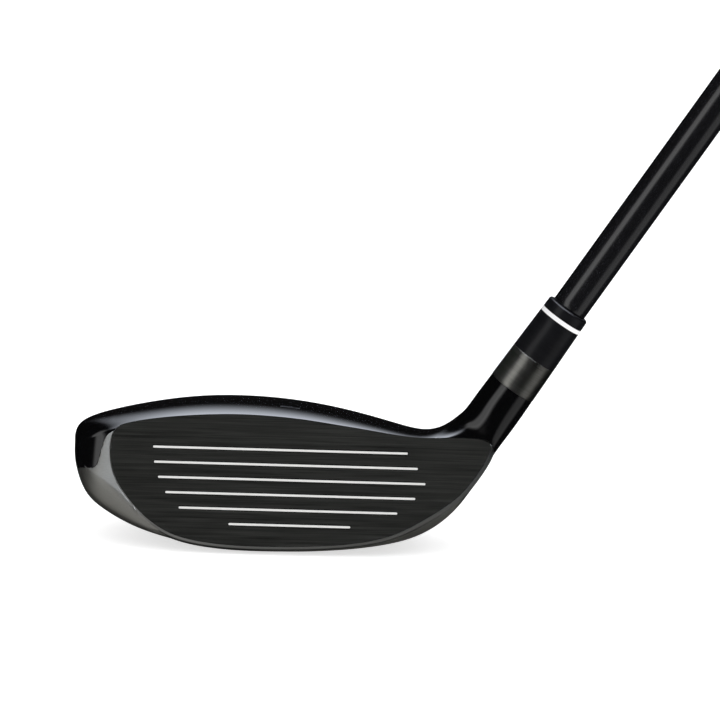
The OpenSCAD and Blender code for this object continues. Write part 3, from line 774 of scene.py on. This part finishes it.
def level(points, n):
    base = len(plate_v)
    plate_v.extend([[x, y, z] for (x, y), z in zip(points, np.broadcast_to(n, len(points)))])
    return list(range(base, base + len(points)))


inner_loop = outline - outward * CHAMFER_IN[:, None]
rim_row = level(inner_loop, 0.0)
slots = []
for i, ends in enumerate(SCORE_ENDS):
    y = SCORE_FIRST + i * SCORE_PITCH
    walls = [level(stadium(ends, y, SCORE_R + GROOVE_MOUTH), 0.0),
             level(stadium(ends, y, SCORE_R), -0.4 * GROOVE_FALL),
             level(stadium(ends, y, SCORE_R - GROOVE_LIP), -0.9 * GROOVE_FALL),
             level(stadium(ends, y, SCORE_R + 0.02), -GROOVE_FALL),
             level(stadium(ends, y, SCORE_R), -SCORE_DEPTH)]
    slots.append(walls)
    # The slot's walls and floor take the near-black material, painted shade in the groove.
    for a_row, b_row in zip(walls, walls[1:]):
        q = strip(a_row, b_row)
        plate_f += q
        plate_m += [1] * len(q)
    plate_f.append(walls[-1])
    plate_m.append(1)
loops = [rim_row] + [s[0] for s in slots]
flat_ids = sum(loops, [])
edges, base = [], 0
for loop_ids in loops:
    n = len(loop_ids)
    edges += [(base + j, base + (j + 1) % n) for j in range(n)]
    base += n
coords = [Vector(plate_v[i][:2]) for i in flat_ids]
tri_v, _, tri_f, _, _, _ = delaunay_2d_cdt(coords, edges, [], 1, 1e-6)
lookup = {(round(c.x, 4), round(c.y, 4)): i for c, i in zip(coords, flat_ids)}


def in_slot(c):
    for i, ends in enumerate(SCORE_ENDS):
        x = min(max(c[0], ends[0]), ends[1])
        if math.hypot(c[0] - x, c[1] - SCORE_FIRST - i * SCORE_PITCH) < SCORE_R + GROOVE_MOUTH - 0.02:
            return True
    return False


for tri in tri_f:
    c = sum((tri_v[i] for i in tri), Vector((0, 0))) / 3
    if not in_slot(c):
        plate_f.append([lookup[round(tri_v[i].x, 4), round(tri_v[i].y, 4)] for i in tri])
        plate_m.append(0)
# The chamfer round the plate, which turns down into the sole
ring_rows = [rim_row]
width = CHAMFER_IN + CHAMFER_OUT
for share, fall in ((0.08, 0.03), (0.5, 0.48), (0.92, 0.94), (1.0, 1.05)):
    ring_rows.append(level(outline + outward * (width * share - CHAMFER_IN)[:, None], end_depth * fall))
tuck = np.interp(span, [8.5, 9.3, 11.5, 12.5], [1, 0.2, 0.2, 1])
for w, gap in ((0.06, 0.02), (0.3, -0.02), (0.45, -0.3)):
    fall = UNDER_DROP * w + (1 - cuts) * 2.6 * w
    ring_rows.append(level(outline + outward * (CHAMFER_OUT + w * tuck)[:, None],
                           end_depth * 1.05 - fall + gap))
ring_rows.append(level(outline + outward * (0.6 * CHAMFER_OUT)[:, None], PLATE_BACK))
# Along the top the chamfer takes the near-black material, a painted shade under the crown's edge; elsewhere
# it is satin metal.
for a_row, b_row in zip(ring_rows, ring_rows[1:]):
    q = strip(b_row, a_row)
    plate_f += q
    plate_m += [1 if 1.2 < x < 9.2 else 2 for x in span]
plate_f.append(ring_rows[-1])
plate_m.append(2)
plate_mesh = new_mesh("face_plate_visual", plate_v, plate_f, plate_m, crease=25)
add("face_insert", plate_mesh, [brushed, painted_shade, edge_satin], "club", ["face_plate"],
    ON_FACE)

# ---------------------------------------------------------------- alignment bar on the crown
BAR_ROWS, BAR_COLS, BAR_RAISE = 9, 5, 0.05
bar_t, bar_k = np.linspace(6.0, 6.29, BAR_ROWS), np.linspace(13.15, 13.45, BAR_COLS)
bar = skin(bar_t[:, None], bar_k[None], 0.0).reshape(-1, 3)
top_side, low_side = [], []
for q in bar:
    hit, n, _, _ = shell_tree.find_nearest(Vector(q))
    n = n if n.z > 0 else -n
    top_side.append(hit + n * BAR_RAISE)
    low_side.append(hit - n * BAR_RAISE)
count = len(bar)
verts = [list(v) for v in top_side + low_side]
top_faces = grid_faces(BAR_ROWS, BAR_COLS)
faces = top_faces + [[v + count for v in q[::-1]] for q in top_faces]
corner_ids = np.arange(count).reshape(BAR_ROWS, BAR_COLS)
border = [*corner_ids[:, 0], *corner_ids[-1, 1:], *corner_ids[-2::-1, -1], *corner_ids[0, -2:0:-1]]
faces += strip(border, [i + count for i in border])
add("alignment_bar", new_mesh("alignment_bar", verts, faces), [mark_grey], "club",
    ["alignment_mark"])

# ---------------------------------------------------------------- hosel band, ferrule and shaft
def tube(low, high, r_low, r_high, bore, edge_low=0.1, edge_high=0.1, cuts=6):
    """A closed profile of a tube with rounded outer edges."""
    def radius(h):
        return r_low + (r_high - r_low) * (h - low) / (high - low)
    points = [[bore, low]]
    for e, base, turn in ((edge_low, low, 1), (edge_high, high, -1)):
        arc = []
        for a in np.linspace(0, pi / 2, 5):
            h = base + turn * e * (1 - sin(a))
            arc.append([radius(h) - e * (1 - cos(a)), h])
        if turn == 1:
            points += arc[::-1]
            points += [[radius(h), h] for h in np.linspace(low + e, high - edge_high, cuts + 2)[1:-1]]
        else:
            points += arc
    return points + [[bore, high]]


def turned(name, profile, materials, slot, nodes, body="club", at=ON_SHAFT, n=160, shape=None, crease=38,
           **caps):
    v, f = revolve(profile, n, shape, **caps)
    return add(name, new_mesh(name, v, f, crease=crease), materials, body, nodes, at)


turned("hosel_band_brushed", tube(NECK_END, BAND_TOP, BAND_FOOT_R, BAND_TOP_R, BORE_R, 0.05, 0.05),
       [band_metal], "head_metal", ["hosel_band"], closed=True)


def ferrule_r(h):
    return BAND_TOP_R + (FERRULE_TOP_R - BAND_TOP_R) * (h - BAND_TOP) / (COLLAR_TOP - BAND_TOP)


for name, low, high, edges, m, slot, node in (
        ("ferrule_long", BAND_TOP, FERRULE_TOP, (0.12, 0.06), ferrule_black, "ferrule_black", "ferrule_body"),
        ("ferrule_trim", FERRULE_TOP, RING_TOP, (0.05, 0.05), ferrule_white, "ferrule_white", "ferrule_ring"),
        ("ferrule_end", RING_TOP, COLLAR_TOP, (0.06, 0.55), ferrule_black, "ferrule_black",
         "ferrule_collar")):
    profile = tube(low, high, ferrule_r(low), ferrule_r(high), TIP_R, *edges)
    turned(name, profile, [m], slot, [node], closed=True)


def shaft_r(h):
    return np.interp(h, [PARALLEL_END, SHAFT_END], [SHAFT_FOOT_R, BUTT_R])


shaft = [[TIP_R - TIP_WALL, BORE_FLOOR], [TIP_R - 0.3, BORE_FLOOR], [TIP_R, BORE_FLOOR + 0.3],
         [TIP_R, COLLAR_TOP - 0.4], [SHAFT_FOOT_R, COLLAR_TOP - 0.2]]
shaft += [[float(shaft_r(h)), h] for h in np.linspace(COLLAR_TOP + 2, SHAFT_END, 60)]
shaft += [[BUTT_R - BUTT_WALL, SHAFT_END]]
shaft += [[BUTT_R - BUTT_WALL + (TIP_R - TIP_WALL - BUTT_R + BUTT_WALL) * s,
           SHAFT_END + (BORE_FLOOR - SHAFT_END) * s]
          for s in np.linspace(0, 1, 12)[1:-1]]
turned("shaft_painted", shaft, [shaft_paint], "shaft_paint", ["shaft"], closed=True, n=144)

# ---------------------------------------------------------------- grip
GRIP_H = np.array([GRIP_MOUTH, GRIP_MOUTH + 0.8, SHAFT_END - 55, SHAFT_END - 25, SHAFT_END - 12,
                   SHAFT_END - 4, SHAFT_END])
GRIP_R = np.array([8.4, 8.9, 11.7, 12.5, 13.5, 14.7, CAP_R])
GRIP_COLS, GRIP_ROWS = 176, 520
RING_HEIGHTS = (GRIP_MOUTH + 8, GRIP_MOUTH + 12.5, SHAFT_END - 28)
TREAD_AROUND, TREAD_PITCH, TREAD_DEPTH, TREAD_HALF = 7, 11.5, 0.42, 0.55


def grip_shape(j, r, h, angle):
    """Crossed spiral grooves between two plain bands, and a ring near the mouth."""
    if j >= GRIP_ROWS:
        return r + 0 * angle
    reach_in = step((h - GRIP_MOUTH - 16) / 3) * step((SHAFT_END - 34 - h) / 3)
    depth = 0 * angle
    for sign in (1, -1):
        phase = TREAD_AROUND * angle / (2 * pi) + sign * h / TREAD_PITCH
        off = np.abs(phase - np.round(phase)) * TREAD_PITCH * 0.62
        depth = np.maximum(depth, step((TREAD_HALF + 0.35 - off) / 0.5))
    ring = sum(step((0.9 - abs(h - at)) / 0.5) for at in RING_HEIGHTS)
    return r - TREAD_DEPTH * np.maximum(depth * reach_in, 0.8 * ring)


h = np.concatenate([GRIP_MOUTH + np.array([0, 0.15, 0.4, 0.8]),
                    np.linspace(GRIP_MOUTH + 1.3, SHAFT_END - 0.3, GRIP_ROWS - 5), [SHAFT_END]])
outer_r = np.interp(h, GRIP_H, GRIP_R)
outer_r = np.concatenate([outer_r[:6], blur(outer_r[6:], 60)])
outer_r[-1] = CAP_R
profile = [[r, x] for r, x in zip(outer_r, h)]
profile += [[BUTT_R + TAPE, SHAFT_END], [float(shaft_r(GRIP_MOUTH)) + TAPE, GRIP_MOUTH]]
turned("grip_sleeve", profile, [rubber], "grip_rubber", ["grip"], n=GRIP_COLS, shape=grip_shape,
       closed=True, crease=50)
cap = [[VENT_R, 0], [CAP_R - 0.15, 0], [CAP_R, 0.2], [CAP_R, 1.1], [CAP_R - 0.25, 1.8],
       [CAP_R - 0.8, 2.5], [CAP_R - 1.8, 3.05], [CAP_R - 3, 3.4], [CAP_R - 5, 3.68], [CAP_R - 7, 3.84],
       [7.4, 3.86], [7.2, 3.6], [6.6, 3.6], [6.4, 3.9], [3, 3.98], [VENT_R + 0.35, 3.97],
       [VENT_R + 0.1, 3.85], [VENT_R, 3.6]]
turned("grip_end_cap", [[r, SHAFT_END + z] for r, z in cap], [rubber], "grip_rubber", ["grip_cap"],
       closed=True, n=144)

# ---------------------------------------------------------------- sole weight
HEAD_LOW = WASHER - PORT_DEPTH
HEAD_TOP = HEAD_LOW + WEIGHT_THICK
LOBE_R, LOBE_AT, SOCKET_DEPTH = 0.62, 1.62, 2.4


def socket_r(angle):
    """Distance from the axis to the six-lobed socket's wall."""
    off = (angle + pi / 6) % (pi / 3) - pi / 6
    side = LOBE_AT * np.sin(off)
    lobe = LOBE_AT * np.cos(off) + np.sqrt(np.maximum(LOBE_R ** 2 - side ** 2, 0))
    return np.where(np.abs(side) < LOBE_R, np.maximum(lobe, LOBE_AT), LOBE_AT)


thread_z = np.linspace(HEAD_LOW - SHANK_LENGTH, HEAD_LOW - 0.4, 96)
screw = [[2.2, thread_z[0]]] + [[SHANK_R - 0.04, z] for z in thread_z]
thread_rows = range(1, len(screw))
screw += [[2.5, HEAD_LOW - 0.25], [2.5, HEAD_LOW], [WEIGHT_R - 0.2, HEAD_LOW], [WEIGHT_R, HEAD_LOW + 0.2],
          [WEIGHT_R, HEAD_TOP - 0.5], [WEIGHT_R - 0.12, HEAD_TOP - 0.2],
          [WEIGHT_R - 0.45, HEAD_TOP - 0.03], [WEIGHT_R - 0.6, HEAD_TOP], [5.1, HEAD_TOP],
          [5.0, HEAD_TOP - 0.12], [4.7, HEAD_TOP - 0.14], [4.6, HEAD_TOP]]
socket_from = len(screw)
screw += [[0.3, HEAD_TOP], [0.12, HEAD_TOP - 0.05], [0.0, HEAD_TOP - 0.2], [0.0, HEAD_TOP - SOCKET_DEPTH]]


def screw_shape(j, r, z, angle):
    if j >= socket_from:
        return socket_r(angle) + r
    if j in thread_rows:
        phase = angle / (2 * pi) + z / THREAD_PITCH
        ridge = 1 - 2 * np.abs(phase - np.floor(phase) - 0.5)
        lead = step((z - thread_z[0]) / 0.8)
        return r - 0.5 * (1 - step(ridge * 1.3)) - 0.35 * (1 - lead)
    return r + 0 * angle


turned("sole_weight_screw", screw, [steel], "weight_metal", ["weight_screw"], "weight", AT_PORT, 144,
       screw_shape, start_axis=True, end_axis=True)
WASHER_R = WEIGHT_R - 0.2
washer = [[3.35, 0.05], [3.4, 0], [WASHER_R - 0.1, 0], [WASHER_R, 0.1], [WASHER_R, WASHER - 0.1],
          [WASHER_R - 0.1, WASHER], [3.4, WASHER], [3.35, WASHER - 0.05]]
turned("sole_weight_washer", [[r, z - PORT_DEPTH] for r, z in washer], [washer_black], "soft_rubber",
       ["weight_washer"], "washer", AT_PORT, closed=True)

# ---------------------------------------------------------------- CAD nodes that stay
for node, m, slot in (
        ("score_lines", line_white, "line_paint"),
        ("internal_weight", tungsten, "inner_metal"),
        ("hot_melt", glue, "glue"),
        ("shaft_bond", glue, "glue"),
        ("tip_weight", brass, "brass"),
        ("tip_plug", plug_rubber, "soft_rubber"),
        ("grip_tape", tape, "tape")):
    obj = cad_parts[node]
    obj.data.materials.clear()
    obj.data.materials.append(m)

# ---------------------------------------------------------------- floor, light and camera
scene = bpy.context.scene
scene.view_settings.view_transform = "Standard"


def plane(name, half, z):
    mesh = bpy.data.meshes.new(name)
    verts = [(-half, -half, z), (half, -half, z), (half, half, z), (-half, half, z)]
    mesh.from_pydata(verts, [], [(0, 1, 2, 3)])
    obj = bpy.data.objects.new(name, mesh)
    scene.collection.objects.link(obj)
    return obj


# These are in metres
FLOOR_HALF, FLOOR_DROP, FLOOR_GLOW = 40, 0.0002, 0.62
LAMP_SIZE, LAMP_POWER, LAMP_AT = 1.6, 2, (0.1, -0.3, 2.2)
floor = plane("studio_floor", FLOOR_HALF, -FLOOR_DROP)
pale, tree, shader = nodes_of("pale_floor")
shader.inputs["Base Color"].default_value = (0.86, 0.86, 0.86, 1)
shader.inputs["Roughness"].default_value = 0.9
shader.inputs["Specular IOR Level"].default_value = 0.1
shader.inputs["Emission Color"].default_value = (1, 1, 1, 1)
shader.inputs["Emission Strength"].default_value = FLOOR_GLOW
floor.data.materials.append(pale)
floor.visible_glossy = False
floor.visible_shadow = False

AIM = Vector((0.01704, 0.003, 0.05037))

# The room is plain white; what the gloss reflects are soft panels around it
world = bpy.data.worlds.new("studio")
scene.world = world
world.use_nodes = True
if hasattr(world, "cycles"):
    world.cycles.sampling_method = "NONE"
tree = world.node_tree
tree.nodes.clear()


def math_node(operation, *values):
    n = tree.nodes.new("ShaderNodeMath")
    n.operation = operation
    for socket, v in zip(n.inputs, values):
        if isinstance(v, (int, float)):
            socket.default_value = v
        else:
            tree.links.new(v, socket)
    return n.outputs[0]


def ramp(value, zero_at, one_at):
    """Smoothly 0 to 1 between two values, in either order."""
    n = tree.nodes.new("ShaderNodeMapRange")
    n.interpolation_type = "SMOOTHSTEP"
    low, high = min(zero_at, one_at), max(zero_at, one_at)
    n.inputs["From Min"].default_value, n.inputs["From Max"].default_value = low, high
    rising = one_at > zero_at
    n.inputs["To Min"].default_value, n.inputs["To Max"].default_value = (0, 1) if rising else (1, 0)
    tree.links.new(value, n.inputs["Value"])
    return n.outputs["Result"]


direction = tree.nodes.new("ShaderNodeTexCoord").outputs["Generated"]
split = tree.nodes.new("ShaderNodeSeparateXYZ")
tree.links.new(direction, split.inputs[0])
side, depth, height = split.outputs
front = math_node("MULTIPLY", depth, -1.0)
over = math_node("DEGREES", math_node("ARCTAN2", height, front))
azimuth = math_node("DEGREES", math_node("ARCTAN2", side, front))
elevation = math_node("DEGREES", math_node("ARCSINE", height))


def panel(strength, colour, *limits):
    """A soft panel: the product of ramps over (angle, where it is 0, where it is 1).

    With no limits it lights every direction alike.
    """
    total = math_node("ADD", strength, 0.0)
    for limit in limits:
        total = math_node("MULTIPLY", total, ramp(*limit))
    n = tree.nodes.new("ShaderNodeVectorMath")
    n.operation = "SCALE"
    n.inputs[0].default_value = colour
    tree.links.new(total, n.inputs["Scale"])
    return n.outputs[0]


COOL = (0.85, 0.90, 1.0)
WHITE = (1, 1, 1)
panels = [panel(*row) for row in (
    (7.5, COOL, (over, 36, 58), (over, 156, 80), (side, -0.42, -0.12), (side, 0.9, 0.6)),
    (0.95, WHITE, (azimuth, -62, -50), (azimuth, -24, -36), (elevation, -24, -6), (elevation, 52, 32)),
    (0.35, WHITE, (azimuth, -40, -33), (azimuth, -20, -27), (elevation, -14, 0), (elevation, 34, 14)),
    (0.34, WHITE, (azimuth, 28, 46), (azimuth, 98, 76), (elevation, -72, -56), (elevation, -6, -24)),
    (0.50, WHITE, (azimuth, -104, -74), (azimuth, -10, -30), (elevation, -82, -64), (elevation, -8, -24)),
    (0.006, WHITE),
    (0.36, WHITE, (over, -84, -70), (over, -34, -48), (side, -0.5, -0.25), (side, 0.5, 0.25)))]
total = panels[0]
for extra_panel in panels[1:]:
    n = tree.nodes.new("ShaderNodeVectorMath")
    tree.links.new(total, n.inputs[0])
    tree.links.new(extra_panel, n.inputs[1])
    total = n.outputs[0]
path = tree.nodes.new("ShaderNodeLightPath").outputs
ROOM, SEEN = 0.9, 0.97


def choose(flag, plain, other):
    n = tree.nodes.new("ShaderNodeMix")
    n.data_type = "RGBA"
    tree.links.new(flag, n.inputs[0])
    for socket, v in ((n.inputs[6], plain), (n.inputs[7], other)):
        if isinstance(v, (int, float)):
            socket.default_value = (v, v, v, 1)
        else:
            tree.links.new(v, socket)
    return n.outputs[2]


back = tree.nodes.new("ShaderNodeBackground")
room_or_panels = choose(path["Is Glossy Ray"], ROOM, total)
tree.links.new(choose(path["Is Camera Ray"], room_or_panels, SEEN), back.inputs["Color"])
out = tree.nodes.new("ShaderNodeOutputWorld")
tree.links.new(back.outputs[0], out.inputs["Surface"])

lamp_data = bpy.data.lights.new("overhead_softbox", "AREA")
lamp_data.shape = "DISK"
lamp_data.size = LAMP_SIZE
lamp_data.energy = LAMP_POWER
lamp = bpy.data.objects.new("overhead_softbox", lamp_data)
lamp.location = LAMP_AT
lamp.visible_glossy = False
scene.collection.objects.link(lamp)

LENS, DISTANCE, CAMERA_ELEVATION, ROLL = 186.9, 1.0, radians(10), radians(1.61)
cam_data = bpy.data.cameras.new("camera")
cam_data.lens = LENS
cam_data.sensor_width = 36
cam_data.clip_start, cam_data.clip_end = 0.05, 100
camera = bpy.data.objects.new("camera", cam_data)
scene.collection.objects.link(camera)
behind = Vector((0, -cos(CAMERA_ELEVATION), sin(CAMERA_ELEVATION)))
camera.location = AIM + behind * DISTANCE
look = (-behind).to_track_quat("-Z", "Y").to_matrix().to_4x4()
camera.matrix_world = Matrix.Translation(AIM + behind * DISTANCE) @ look @ Matrix.Rotation(ROLL, 4, "Z")
scene.camera = camera
